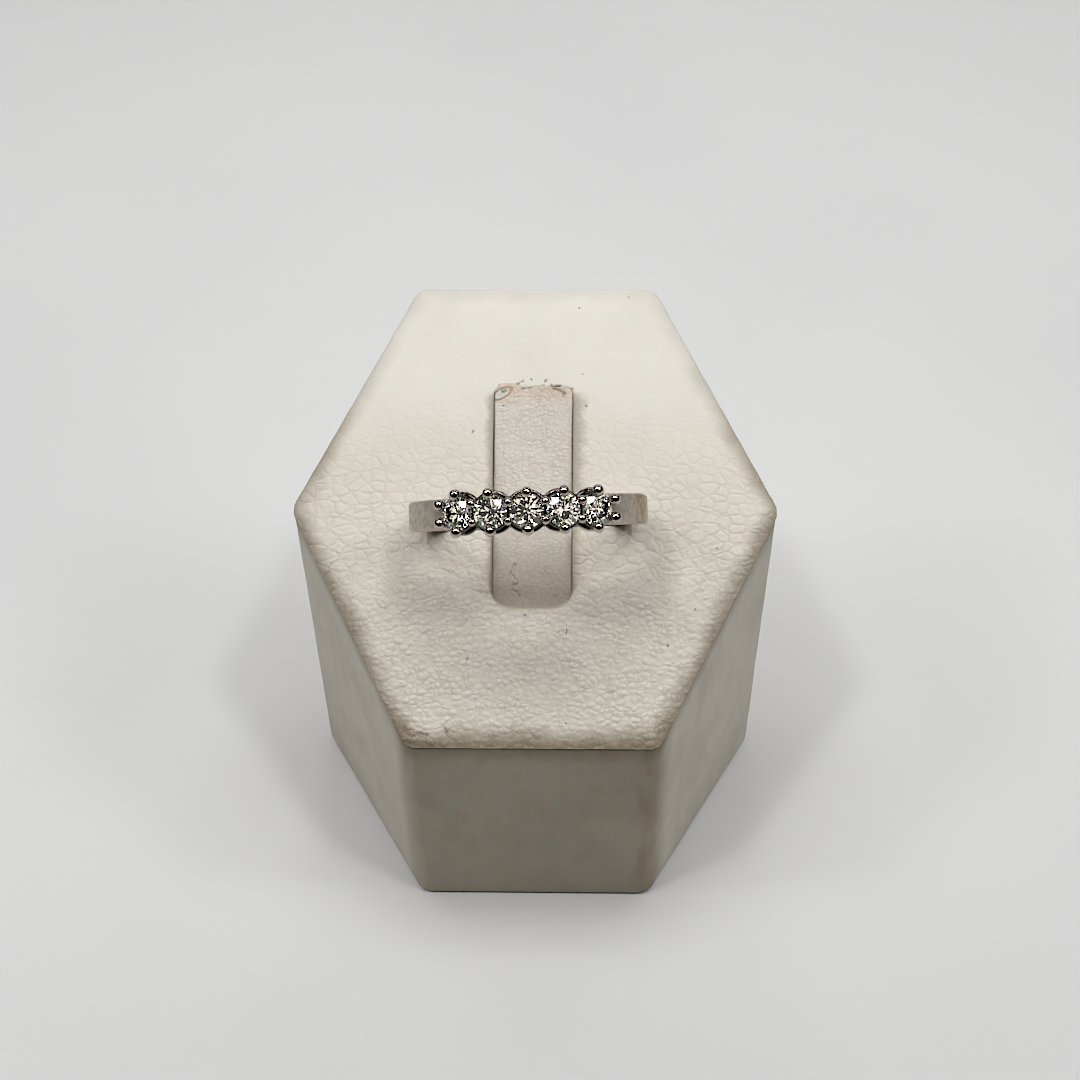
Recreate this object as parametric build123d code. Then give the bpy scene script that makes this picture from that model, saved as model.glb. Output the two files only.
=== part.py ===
from build123d import *

import os
from math import asin, atan, atan2, cos, degrees, hypot, radians, sin, sqrt, tan

# A ring with a row of round brilliant stones, held upright in a hexagonal display block by a tongue.
# Millimetres. The origin is under the middle of the block, +Y runs to the back and +Z up.

# Block: a hexagonal prism with flats at front and back, whose top rises to the back
STAND_FLATS = 35.8
FRONT_HEIGHT = 23.1
TOP_SLOPE = 27.3
CORNER_ROUND = 1.3
TOP_ROUND = 0.9
BASE_ROUND = 0.5

# Tongue: a stiff strip that hinges at a crease in the top and dips towards the front
TONGUE_WIDTH = 6.7
TONGUE_LENGTH = 19.3
TONGUE_THICKNESS = 0.8
TONGUE_CORNER = 1.7
CREASE_UP = 10.8
SLOT_ACROSS = -0.2
SLOT_SIDE_GAP = 0.45
SLOT_END_GAP = 0.2
TONGUE_SEAT_GAP = 0.3

# Where the ring stands: its place on the top, how far it sinks in, and how it leans and turns
RING_ACROSS = -0.48
RING_UP = -0.5
RING_SINK = 4.65
RING_LEAN = 15.0
RING_TURN = 2.4
RING_SLOT_GAP = 0.2
TONGUE_RING_GAP = 0.15

# Shank
RING_BORE = 16.3
SHANK_THICKNESS = 1.5
SHANK_WIDTH = 2.4
SHANK_OUTER_ROUND = 0.35
SHANK_INNER_ROUND = 0.2

# Stones: round brilliants, their girdles held above the shank's outer surface
STONE_COUNT = 5
STONE_WIDTH = 2.65
STONE_SPACING = 0.17
GIRDLE_LIFT = 0.45
GIRDLE_THICKNESS = 0.07
TABLE_SHARE = 0.57
STAR_SHARE = 0.5
LOWER_HALF_SHARE = 0.77
CROWN_ANGLE = 34.5
PAVILION_ANGLE = 40.8
MAIN_FACETS = 8

# Gallery: a thin bridge in line with the shank, and two round rails under each stone
BRIDGE_THICKNESS = 0.65
BRIDGE_HOLE = 1.2
LOWER_RAIL_WIRE = 0.42
LOWER_RAIL_OUTSET = 0.17
LOWER_RAIL_DROP = 0.9
SEAT_RAIL_WIRE = 0.5
SEAT_RAIL_INSET = 0.12
SEAT_RAIL_DROP = 0.35
STONE_CLEARANCE = 0.05

# Claws: a thick pair across each stone, and thin pairs shared between stones and at both ends
MAIN_CLAW_WIRE = 0.6
MAIN_CLAW_BEAD = 0.74
MAIN_CLAW_OUTSET = 0.17
SHARED_CLAW_WIRE = 0.46
SHARED_CLAW_BEAD = 0.6
SHARED_CLAW_OFFSET = 0.7
CLAW_LIFT = 0.22
CLAW_ROOT = 0.3

# Worked out from the sizes above
middle_height = FRONT_HEIGHT + STAND_FLATS / 2 * tan(radians(TOP_SLOPE))
back_height = FRONT_HEIGHT + STAND_FLATS * tan(radians(TOP_SLOPE))
bore_radius = RING_BORE / 2
shank_radius = bore_radius + SHANK_THICKNESS
bridge_radius = bore_radius + BRIDGE_THICKNESS
stone_radius = STONE_WIDTH / 2
girdle_radius = shank_radius + GIRDLE_LIFT
half_pitch = degrees(atan(stone_radius / girdle_radius) + asin(STONE_SPACING / 2 / hypot(girdle_radius, stone_radius)))
ring_rise = shank_radius - RING_SINK

top_plane = Plane(
    origin=(0, 0, middle_height),
    x_dir=(1, 0, 0),
    z_dir=(0, -sin(radians(TOP_SLOPE)), cos(radians(TOP_SLOPE))),
)
ring_place = (
    top_plane.location
    * Pos(RING_ACROSS, RING_UP, 0)
    * Rot(Z=RING_TURN)
    * Rot(X=RING_LEAN)
    * Pos(0, 0, ring_rise)
)


def tongue_dip():
    """Degrees that the tongue dips so that its lower edges just clear the shank inside the finger hole."""
    lean = radians(RING_LEAN)
    drop = sqrt(bore_radius**2 - (TONGUE_WIDTH / 2) ** 2) - ring_rise
    dips = []
    for end in (-1, 1):
        along = RING_UP + drop * sin(lean) + end * SHANK_WIDTH / 2 * cos(lean)
        down = drop * cos(lean) - end * SHANK_WIDTH / 2 * sin(lean)
        run = CREASE_UP - along
        reach = hypot(run, down)
        dips.append(atan2(down, run) - asin((TONGUE_THICKNESS + TONGUE_RING_GAP) / reach))
    return degrees(min(dips))


tongue_place = top_plane.location * Pos(SLOT_ACROSS, CREASE_UP, 0) * Rot(X=tongue_dip())


def tongue_outline(width, length, corner):
    """A strip that runs from the crease towards the front, with both front corners round."""
    strip = Pos(0, -length / 2) * Rectangle(width, length)
    front_corners = strip.vertices().sort_by(Axis.Y)[:2]
    return fillet(front_corners, corner)


def stand_tongue():
    outline = tongue_outline(TONGUE_WIDTH, TONGUE_LENGTH, TONGUE_CORNER)
    return tongue_place * extrude(outline, amount=-TONGUE_THICKNESS)


def tongue_recess():
    """The slot that holds the tongue: open at the top, with a floor parallel to the tongue."""
    slot_width = TONGUE_WIDTH + 2 * SLOT_SIDE_GAP
    slot_length = TONGUE_LENGTH * cos(radians(tongue_dip())) + 2 * SLOT_END_GAP
    outline = tongue_outline(slot_width, slot_length, TONGUE_CORNER + SLOT_SIDE_GAP)
    deepest = TONGUE_LENGTH + TONGUE_THICKNESS
    shaft = Pos(SLOT_ACROSS, CREASE_UP + SLOT_END_GAP, -deepest) * extrude(outline, amount=2 * deepest)
    floor = Plane(tongue_place).offset(-TONGUE_THICKNESS - TONGUE_SEAT_GAP)
    return split(top_plane.location * shaft, bisect_by=floor, keep=Keep.TOP)


def ring_recess():
    """The cross slot that the lower part of the shank sinks into."""
    disc = Cylinder(shank_radius + RING_SLOT_GAP, SHANK_WIDTH + 2 * RING_SLOT_GAP)
    return ring_place * Rot(X=90) * disc


def stand_block():
    prism = extrude(RegularPolygon(STAND_FLATS / 2, 6, major_radius=False), amount=back_height + TOP_ROUND)
    prism = fillet(prism.edges().filter_by(Axis.Z), CORNER_ROUND)
    block = split(prism, bisect_by=top_plane, keep=Keep.BOTTOM)
    block = fillet(block.faces().sort_by(Axis.Z)[-1].edges(), TOP_ROUND)
    block = fillet(block.faces().sort_by(Axis.Z)[0].edges(), BASE_ROUND)
    return block - tongue_recess() - ring_recess()


def turned(angle, part):
    """A part made over the ring's middle, turned round the finger by an angle from the top."""
    return Rot(Y=angle) * part


def ring_arc(inner, outer, width, half_angle):
    """A flat-sided stretch of band, centred on the top of the ring."""
    section = Pos((inner + outer) / 2, 0) * Rectangle(outer - inner, width)
    return Rot(Y=-90 - half_angle) * revolve(section, Axis.Y, 2 * half_angle)


def shank():
    """The full hoop, thinned to the bridge under the stones."""
    section = Pos(bore_radius + SHANK_THICKNESS / 2, 0) * Rectangle(SHANK_THICKNESS, SHANK_WIDTH)
    section = fillet(section.vertices().sort_by(Axis.X)[2:], SHANK_OUTER_ROUND)
    section = fillet(section.vertices().sort_by(Axis.X)[:2], SHANK_INNER_ROUND)
    hoop = revolve(section, Axis.Y)
    head_angle = STONE_COUNT * half_pitch
    return hoop - ring_arc(bridge_radius, girdle_radius + stone_radius, 2 * SHANK_WIDTH, head_angle)


def claw(foot, tip, wire, bead):
    """A round wire from its foot to a ball that folds over the stone's edge."""
    run = tip - foot
    stem = Plane(foot, z_dir=run).location * Cylinder(wire / 2, run.length, align=(Align.CENTER, Align.CENTER, Align.MIN))
    return [stem, Pos(*tip) * Sphere(bead / 2)]


def main_claws():
    """The two claws across the middle of a stone at the top of the ring."""
    foot_out = SHANK_WIDTH / 2 - MAIN_CLAW_WIRE / 2
    tip_out = stone_radius + MAIN_CLAW_OUTSET
    pieces = []
    for hand in (-1, 1):
        foot = Vector(0, hand * foot_out, bore_radius + CLAW_ROOT)
        tip = Vector(0, hand * tip_out, girdle_radius + CLAW_LIFT)
        pieces += claw(foot, tip, MAIN_CLAW_WIRE, MAIN_CLAW_BEAD)
    return pieces


def shared_claws():
    """The two thin claws of one gap between stones, over the ring's middle."""
    pieces = []
    for hand in (-1, 1):
        foot = Vector(0, hand * SHARED_CLAW_OFFSET, bore_radius + CLAW_ROOT)
        tip = Vector(0, hand * SHARED_CLAW_OFFSET, girdle_radius + CLAW_LIFT)
        pieces += claw(foot, tip, SHARED_CLAW_WIRE, SHARED_CLAW_BEAD)
    return pieces


def rails():
    """The scalloped lower rail and the seat rail under one stone."""
    lower = Torus(stone_radius + LOWER_RAIL_OUTSET, LOWER_RAIL_WIRE / 2)
    seat = Torus(stone_radius - SEAT_RAIL_INSET, SEAT_RAIL_WIRE / 2)
    return [Pos(0, 0, girdle_radius - LOWER_RAIL_DROP) * lower, Pos(0, 0, girdle_radius - SEAT_RAIL_DROP) * seat]


def stone_seat():
    """The space that a stone takes in the metal, with its clearance, and the hole through the bridge."""
    wide = stone_radius + STONE_CLEARANCE
    table = stone_radius * TABLE_SHARE + STONE_CLEARANCE
    rise = (wide - table) * tan(radians(CROWN_ANGLE))
    fall = wide * tan(radians(PAVILION_ANGLE))
    low = girdle_radius - GIRDLE_THICKNESS / 2 - STONE_CLEARANCE
    high = girdle_radius + GIRDLE_THICKNESS / 2 + STONE_CLEARANCE
    outline = Polyline(
        (0, 0, low - fall), (wide, 0, low), (wide, 0, high), (table, 0, high + rise), (0, 0, high + rise), close=True
    )
    hole = Pos(0, 0, bridge_radius) * Cylinder(BRIDGE_HOLE / 2, 2 * BRIDGE_THICKNESS)
    return [revolve(make_face(outline), Axis.Z), hole]


def stone_angles():
    """Degrees from the top of the ring to the middle of each stone."""
    return [(2 * index - STONE_COUNT + 1) * half_pitch for index in range(STONE_COUNT)]


def gap_angles():
    """Degrees from the top of the ring to each pair of shared claws, both ends of the row included."""
    return [(2 * index - STONE_COUNT) * half_pitch for index in range(STONE_COUNT + 1)]


def ring_band():
    metal = [turned(angle, piece) for angle in stone_angles() for piece in main_claws() + rails()]
    metal += [turned(angle, piece) for angle in gap_angles() for piece in shared_claws()]
    seats = [turned(angle, piece) for angle in stone_angles() for piece in stone_seat()]
    finger = Rot(X=90) * Cylinder(bore_radius, 2 * SHANK_WIDTH)
    return ring_place * (shank().fuse(*metal) - seats - finger)


def brilliant():
    """A round brilliant with its girdle on the XY plane: table, stars, mains, halves and a pointed culet."""
    step = 360 / MAIN_FACETS
    girdle_top, girdle_base = GIRDLE_THICKNESS / 2, -GIRDLE_THICKNESS / 2
    half_step_cos = cos(radians(step / 2))
    table_r = stone_radius * TABLE_SHARE
    star_r = table_r * half_step_cos + (stone_radius - table_r * half_step_cos) * STAR_SHARE
    lower_r = stone_radius * (1 - LOWER_HALF_SHARE)

    def at(radius, turns, height):
        angle = radians(step * turns)
        return Vector(radius * cos(angle), radius * sin(angle), height)

    def crown_height(radius):
        return girdle_top + (stone_radius - radius) * tan(radians(CROWN_ANGLE))

    def pavilion_height(radius):
        return girdle_base - (stone_radius - radius) * tan(radians(PAVILION_ANGLE))

    culet = Vector(0, 0, pavilion_height(0))
    outlines = [[at(table_r, k, crown_height(table_r)) for k in range(MAIN_FACETS)]]
    for k in range(MAIN_FACETS):
        table, next_table = at(table_r, k, crown_height(table_r)), at(table_r, k + 1, crown_height(table_r))
        star = at(star_r, k + 0.5, crown_height(star_r * half_step_cos))
        last_star = at(star_r, k - 0.5, crown_height(star_r * half_step_cos))
        lower = at(lower_r, k + 0.5, pavilion_height(lower_r * half_step_cos))
        last_lower = at(lower_r, k - 0.5, pavilion_height(lower_r * half_step_cos))
        top = [at(stone_radius, k + half, girdle_top) for half in (0, 0.5, 1)]
        base = [at(stone_radius, k + half, girdle_base) for half in (0, 0.5, 1)]
        outlines += [
            [table, star, next_table],
            [table, last_star, top[0], star],
            [star, top[0], top[1]],
            [star, top[1], top[2]],
            [top[0], base[0], base[1], top[1]],
            [top[1], base[1], base[2], top[2]],
            [lower, base[1], base[0]],
            [lower, base[2], base[1]],
            [culet, lower, base[0], last_lower],
        ]
    faces = [Face(Wire.make_polygon(outline, close=True)) for outline in outlines]
    return Solid(Shell(faces))


def write(part, name):
    part.label = name
    export_step(part, f"parts/{name}.step")


os.makedirs("parts", exist_ok=True)
write(stand_block(), "stand_block")
write(stand_tongue(), "stand_tongue")
write(ring_band(), "ring_band")
for number, stone_angle in enumerate(stone_angles(), start=1):
    stone = turned(stone_angle, Pos(0, 0, girdle_radius) * brilliant())
    write(ring_place * stone, f"stone_{number}")
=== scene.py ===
import random
from math import asin, atan, cos, degrees, exp, hypot, radians, sin, sqrt, tan

import bmesh
import bpy
from mathutils import Matrix, Vector, noise


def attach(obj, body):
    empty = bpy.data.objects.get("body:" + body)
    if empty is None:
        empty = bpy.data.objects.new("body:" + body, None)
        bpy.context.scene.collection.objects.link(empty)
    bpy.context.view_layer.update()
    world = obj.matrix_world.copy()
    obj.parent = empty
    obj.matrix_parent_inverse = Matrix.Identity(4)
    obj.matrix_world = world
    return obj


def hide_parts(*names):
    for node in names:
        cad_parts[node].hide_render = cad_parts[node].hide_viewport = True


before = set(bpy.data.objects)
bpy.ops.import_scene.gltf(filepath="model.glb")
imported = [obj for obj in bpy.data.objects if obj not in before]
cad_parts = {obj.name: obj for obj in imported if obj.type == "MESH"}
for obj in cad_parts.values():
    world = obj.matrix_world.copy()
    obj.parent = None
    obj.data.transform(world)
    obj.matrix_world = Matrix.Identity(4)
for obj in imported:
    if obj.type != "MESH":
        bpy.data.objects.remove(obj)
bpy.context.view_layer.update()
MM = 0.001

# The camera stands in front of the block and looks down on its sloped top, a hand's breadth above it.
# Its place, its turn and its lens were worked out from the block's corners in the photograph.
CAMERA_PLACE = Vector((2.668, -98.05, 136.245)) * MM
CAMERA_TURN = (radians(42.2782), radians(0.452), radians(0.8224))
CAMERA_LENS = 56.7

camera_data = bpy.data.cameras.new("camera")
camera_data.lens = CAMERA_LENS
camera_data.clip_start = 5 * MM
camera = bpy.data.objects.new("camera", camera_data)
camera.location = CAMERA_PLACE
camera.rotation_euler = CAMERA_TURN
bpy.context.scene.collection.objects.link(camera)
bpy.context.scene.camera = camera
bpy.context.scene.view_settings.view_transform = "Standard"

# The photograph was sharpened a little in the camera.
SHARPENING = 0.05

bpy.context.scene.use_nodes = True
develop = bpy.context.scene.node_tree
develop.nodes.clear()
taken = develop.nodes.new("CompositorNodeRLayers")
sharpened = develop.nodes.new("CompositorNodeFilter")
sharpened.filter_type = "SHARPEN"
sharpened.inputs["Fac"].default_value = SHARPENING
finished = develop.nodes.new("CompositorNodeComposite")
develop.links.new(taken.outputs["Image"], sharpened.inputs["Image"])
develop.links.new(sharpened.outputs["Image"], finished.inputs["Image"])

# The lamps: a soft one close over the block, a distant pair high at front left and front right that throws the
# shadows on the table, and weak ones at the sides and behind. The room itself is nearly dark.
LAMPS = [
    {"name": "lamp_over", "place": (0, 0.031, 0.31), "size": 0.24, "depth": 0.07, "power": 0.36},
    {"name": "lamp_far_left", "place": (-0.236, -0.138, 0.686), "size": 0.08, "power": 0.80},
    {"name": "lamp_far_right", "place": (0.236, -0.138, 0.686), "size": 0.08, "power": 0.80},
    {"name": "lamp_rear", "place": (0, 0.21, 0.70), "size": 0.10, "power": 0.15},
    {"name": "lamp_left", "place": (-0.30, -0.05, 0.35), "size": 0.06, "power": 0.165},
    {"name": "lamp_right", "place": (0.30, -0.05, 0.35), "size": 0.06, "power": 0.165},
    {"name": "lamp_high_left", "place": (-0.43, 0, 0.58), "size": 0.16, "power": 0.277},
    {"name": "lamp_high_right", "place": (0.43, 0, 0.58), "size": 0.16, "power": 0.277},
    {"name": "lamp_back_left", "place": (-0.12, 0.17, 0.18), "size": 0.08, "power": 0.04},
    {"name": "lamp_back_right", "place": (0.12, 0.17, 0.18), "size": 0.08, "power": 0.04},
    {"name": "lamp_back", "place": (0, 0.24, 0.17), "size": 0.10, "power": 0.04},
]
LAMP_TARGET = Vector((0, 0, 0.03))

for lamp in LAMPS:
    light = bpy.data.lights.new(lamp["name"], "AREA")
    light.shape = "RECTANGLE" if "depth" in lamp else "DISK"
    light.size = lamp["size"]
    if "depth" in lamp:
        light.size_y = lamp["depth"]
    light.energy = lamp["power"]
    holder = bpy.data.objects.new(lamp["name"], light)
    holder.location = lamp["place"]
    holder.rotation_euler = (holder.location - LAMP_TARGET).to_track_quat("Z", "Y").to_euler()
    bpy.context.scene.collection.objects.link(holder)

# The room: nearly dark, with many small bright panels as in a shop, and a weak warm light between them. Both show
# only in the stones, which gather the light of the whole room, and are too dim to light the rest.
ROOM_LIGHT = 0.012
PANEL_SCALE = 3.5
PANEL_SHARE = 0.24
PANEL_LIGHT = 1.3
STONE_ROOM_LIGHT = 0.06
PANEL_COLOUR = (1.0, 0.92, 0.82)
TINTED_SHARE = 0.11
TINT_STRENGTH = 0.42
TINT_FIRST_HUE = 0.08
TINT_HUE_RANGE = 0.48


def add_node(tree, kind, settings=None, inputs=None):
    """A node with its settings, and its inputs set to values or joined to other nodes' outputs."""
    made = tree.nodes.new(kind)
    for name, value in (settings or {}).items():
        setattr(made, name, value)
    for name, value in (inputs or {}).items():
        if isinstance(value, bpy.types.NodeSocket):
            tree.links.new(value, made.inputs[name])
        else:
            made.inputs[name].default_value = value
    return made


def blend_colours(tree, mask, under, over, way="MIX"):
    """The over colour laid on the under colour where the mask is 1."""
    made = tree.nodes.new("ShaderNodeMix")
    made.data_type = "RGBA"
    made.blend_type = way
    for index, value in ((0, mask), (6, under), (7, over)):
        if isinstance(value, bpy.types.NodeSocket):
            tree.links.new(value, made.inputs[index])
        else:
            made.inputs[index].default_value = value if index == 0 else (*value, 1)
    return made.outputs[2]


def ramp_value(tree, value, low, high, to_low=0.0, to_high=1.0):
    """A soft step from one value to another, between two limits given in either order."""
    made = add_node(
        tree, "ShaderNodeMapRange", {"interpolation_type": "SMOOTHSTEP"},
        {"Value": value, "From Min": low, "From Max": high, "To Min": to_low, "To Max": to_high},
    )
    return made.outputs["Result"]


def blend_numbers(tree, share, first, second):
    """The first number where the share is 0 and the second where it is 1."""
    return add_node(tree, "ShaderNodeMix", {"data_type": "FLOAT"}, {0: share, 2: first, 3: second}).outputs[0]


def work_out(tree, operation, first, second=0.0, third=0.0):
    """One sum on two or three values or sockets."""
    return add_node(tree, "ShaderNodeMath", {"operation": operation}, {0: first, 1: second, 2: third}).outputs[0]


room = bpy.data.worlds.new("room")
room.use_nodes = True
bpy.context.scene.world = room
tree = room.node_tree
direction = add_node(tree, "ShaderNodeTexCoord").outputs["Generated"]
panels = add_node(tree, "ShaderNodeTexVoronoi", None, {"Vector": direction, "Scale": PANEL_SCALE})
pick = add_node(tree, "ShaderNodeSeparateColor", None, {0: panels.outputs["Color"]})
lit = work_out(tree, "LESS_THAN", pick.outputs[0], PANEL_SHARE)
tinted = work_out(tree, "LESS_THAN", pick.outputs[1], TINTED_SHARE)
hue = work_out(tree, "MULTIPLY_ADD", pick.outputs[2], TINT_HUE_RANGE, TINT_FIRST_HUE)
tint = add_node(tree, "ShaderNodeCombineColor", {"mode": "HSV"}, {0: hue, 1: TINT_STRENGTH, 2: 1.0})
panel_colour = blend_colours(tree, tinted, PANEL_COLOUR, tint.outputs[0])
through_stone = add_node(tree, "ShaderNodeLightPath").outputs["Is Transmission Ray"]
strength = work_out(tree, "MULTIPLY_ADD", lit, PANEL_LIGHT, STONE_ROOM_LIGHT)
strength = work_out(tree, "MULTIPLY", strength, through_stone)
background = tree.nodes["Background"]
tree.links.new(panel_colour, background.inputs["Color"])
tree.links.new(work_out(tree, "ADD", strength, ROOM_LIGHT), background.inputs["Strength"])

# The table: a plain matt board, off-white, with a few faint rubbed marks. It isn't part of the object.
TABLE_SIDE = 1.6
TABLE_COLOUR = (0.735, 0.735, 0.735)
TABLE_SHADE = (0.705, 0.705, 0.707)
TABLE_MARK = (0.66, 0.66, 0.665)


def new_material(name, roughness, metallic=0.0):
    """A material with one main shader, and its node tree."""
    made = bpy.data.materials.new(name)
    made.use_nodes = True
    shader = made.node_tree.nodes["Principled BSDF"]
    shader.inputs["Roughness"].default_value = roughness
    shader.inputs["Metallic"].default_value = metallic
    return made, made.node_tree, shader


def axes(tree, place):
    return add_node(tree, "ShaderNodeSeparateXYZ", None, {0: place}).outputs


def noise_value(tree, place, scale, detail=2.0):
    return add_node(tree, "ShaderNodeTexNoise", None, {"Vector": place, "Scale": scale, "Detail": detail}).outputs[0]


table_finish, tree, shader = new_material("table_finish", 0.75)
place = add_node(tree, "ShaderNodeTexCoord").outputs["Object"]
tone = blend_colours(tree, ramp_value(tree, noise_value(tree, place, 14, 3.0), 0.4, 0.7), TABLE_COLOUR, TABLE_SHADE)
long_place = add_node(
    tree, "ShaderNodeMapping", None, {"Vector": place, "Scale": (10, 45, 1), "Rotation": (0, 0, 0.06)}
)
rubbed = ramp_value(tree, noise_value(tree, long_place.outputs[0], 1.0, 5.0), 0.64, 0.72)
behind = ramp_value(tree, axes(tree, place)[1], 0.02, 0.05)
tone = blend_colours(tree, work_out(tree, "MULTIPLY", rubbed, behind), tone, TABLE_MARK)
tree.links.new(tone, shader.inputs["Base Color"])

bm = bmesh.new()
bmesh.ops.create_grid(bm, x_segments=1, y_segments=1, size=TABLE_SIDE / 2)
table_mesh = bpy.data.meshes.new("table")
bm.to_mesh(table_mesh)
bm.free()
table = bpy.data.objects.new("table", table_mesh)
table_mesh.materials.append(table_finish)
bpy.context.scene.collection.objects.link(table)

# The block's walls: a light core, six-sided, with a strip of leatherette glued round it and turned in under
# the base. Its corners are soft, and the strip lies smooth but not quite flat. Sizes in millimetres.
STAND_FLATS = 35.8
FRONT_HEIGHT = 23.1
TOP_SLOPE = 27.3
CORNER_ROUND = 1.3
BASE_ROUND = 0.5
COVER_THICKNESS = 0.38
SEAM_INSET = 0.15
WALL_VOXEL = 0.34
WALL_WAVE = 0.055
WALL_WAVE_LENGTH = 5.0

# The sizes of the tongue and its slot, and of the ring, which the slots in the block are cut to.
TONGUE_WIDTH = 6.7
TONGUE_LENGTH = 19.3
TONGUE_THICKNESS = 0.8
TONGUE_CORNER = 1.7
TONGUE_DIP = 6.479
CREASE_UP = 10.8
SLOT_ACROSS = -0.2
SLOT_GAP = 0.035
SLOT_BACK_CORNER = 0.7
TONGUE_SEAT_GAP = 0.3

RING_ACROSS = -0.48
RING_UP = -0.5
RING_SINK = 4.65
RING_LEAN = 15.0
RING_TURN = 2.4
RING_SLOT_GAP = 0.03
RING_BORE = 16.3
SHANK_THICKNESS = 1.5
SHANK_WIDTH = 2.4

middle_height = FRONT_HEIGHT + STAND_FLATS / 2 * tan(radians(TOP_SLOPE))
shank_radius = RING_BORE / 2 + SHANK_THICKNESS
top_place = Matrix.Translation((0, 0, middle_height)) @ Matrix.Rotation(radians(TOP_SLOPE), 4, "X")
top_normal = top_place.to_3x3() @ Vector((0, 0, 1))
seam_point = Vector((0, 0, middle_height)) - top_normal * COVER_THICKNESS
ring_place = (
    top_place
    @ Matrix.Translation((RING_ACROSS, RING_UP, 0))
    @ Matrix.Rotation(radians(RING_TURN), 4, "Z")
    @ Matrix.Rotation(radians(RING_LEAN), 4, "X")
    @ Matrix.Translation((0, 0, shank_radius - RING_SINK))
)
tongue_place = (
    top_place @ Matrix.Translation((SLOT_ACROSS, CREASE_UP, 0)) @ Matrix.Rotation(radians(TONGUE_DIP), 4, "X")
)


def upright_edges(bm):
    return [edge for edge in bm.edges if abs((edge.verts[0].co - edge.verts[1].co).normalized().z) > 0.99]


def round_edges(bm, edges, radius, segments):
    bmesh.ops.bevel(
        bm, geom=edges, offset=radius, segments=segments, profile=0.5, affect="EDGES", material=-1,
        loop_slide=True, clamp_overlap=True,
    )


def hexagon_prism(flats, height, corner):
    """A six-sided prism with flats at front and back and round upright corners."""
    bm = bmesh.new()
    bmesh.ops.create_circle(bm, cap_ends=True, segments=6, radius=flats / sqrt(3))
    bmesh.ops.rotate(bm, verts=bm.verts, matrix=Matrix.Rotation(radians(90), 3, "Z"))
    grown = bmesh.ops.extrude_face_region(bm, geom=bm.faces[:])
    lifted = [item for item in grown["geom"] if isinstance(item, bmesh.types.BMVert)]
    bmesh.ops.translate(bm, verts=lifted, vec=(0, 0, height))
    round_edges(bm, upright_edges(bm), corner * tan(radians(30)), 8)
    return bm


def trim(bm, point, direction):
    """Cuts away what lies past a plane, closes the cut and gives the edges round it."""
    cut = bmesh.ops.bisect_plane(
        bm, geom=bm.verts[:] + bm.edges[:] + bm.faces[:], plane_co=point, plane_no=direction, clear_outer=True
    )
    rim = [item for item in cut["geom_cut"] if isinstance(item, bmesh.types.BMEdge)]
    bmesh.ops.edgeloop_fill(bm, edges=rim)
    return rim


def rounded_strip(width, length, front_corner, back_corner, low, high):
    """A slab from the crease towards the front, with round corners, as a closed mesh."""
    bm = bmesh.new()
    bmesh.ops.create_cube(bm, size=1)
    bmesh.ops.scale(bm, verts=bm.verts, vec=(width, length, high - low))
    bmesh.ops.translate(bm, verts=bm.verts, vec=(0, -length / 2, (high + low) / 2))
    front = [edge for edge in upright_edges(bm) if edge.verts[0].co.y < -length / 2]
    round_edges(bm, front, front_corner, 10)
    if back_corner:
        back = [edge for edge in upright_edges(bm) if edge.verts[0].co.y > -length / 2]
        round_edges(bm, back, back_corner, 6)
    return bm


def as_object(bm, name):
    """Puts a bmesh into an object of its own."""
    bmesh.ops.recalc_face_normals(bm, faces=bm.faces)
    mesh = bpy.data.meshes.new(name)
    bm.to_mesh(mesh)
    bm.free()
    made = bpy.data.objects.new(name, mesh)
    bpy.context.scene.collection.objects.link(made)
    return made


def shaped(item, cutters=(), voxel=None):
    """The shape of an object with others cut out of it, and then fused to an even mesh, as a bmesh."""
    for cutter in cutters:
        change = item.modifiers.new("cut", "BOOLEAN")
        change.operation = "DIFFERENCE"
        change.solver = "EXACT"
        change.object = cutter
    if voxel:
        change = item.modifiers.new("fuse", "REMESH")
        change.mode = "VOXEL"
        change.voxel_size = voxel
    finished = item.evaluated_get(bpy.context.evaluated_depsgraph_get())
    mesh = bpy.data.meshes.new_from_object(finished)
    bm = bmesh.new()
    bm.from_mesh(mesh)
    bpy.data.meshes.remove(mesh)
    bpy.data.objects.remove(item)
    return bm


def finish_piece(bm, name, material, replaced):
    """Makes a piece of the object from a mesh in millimetres."""
    bmesh.ops.scale(bm, verts=bm.verts, vec=(MM, MM, MM))
    made = as_object(bm, name)
    made.data.materials.append(material)
    made.data.shade_smooth()
    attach(made, "root")
    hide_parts(replaced)


def recess_cutters():
    """The slot for the tongue and the cross slot for the ring, to be cut out of core and cover."""
    deep = TONGUE_LENGTH
    width = TONGUE_WIDTH + 2 * SLOT_GAP
    length = TONGUE_LENGTH * cos(radians(TONGUE_DIP)) + SLOT_GAP
    slot = rounded_strip(width, length, TONGUE_CORNER + SLOT_GAP, SLOT_BACK_CORNER, -deep, deep)
    bmesh.ops.transform(slot, matrix=top_place @ Matrix.Translation((SLOT_ACROSS, CREASE_UP, 0)), verts=slot.verts)
    floor_point = tongue_place @ Vector((0, 0, -TONGUE_THICKNESS - TONGUE_SEAT_GAP))
    trim(slot, floor_point, tongue_place.to_3x3() @ Vector((0, 0, -1)))
    disc = bmesh.new()
    bmesh.ops.create_cone(
        disc, cap_ends=True, segments=96, radius1=shank_radius + RING_SLOT_GAP, radius2=shank_radius + RING_SLOT_GAP,
        depth=SHANK_WIDTH + 2 * RING_SLOT_GAP,
    )
    bmesh.ops.transform(disc, matrix=ring_place @ Matrix.Rotation(radians(90), 4, "X"), verts=disc.verts)
    return [as_object(slot, "slot_cutter"), as_object(disc, "ring_cutter")]


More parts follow.
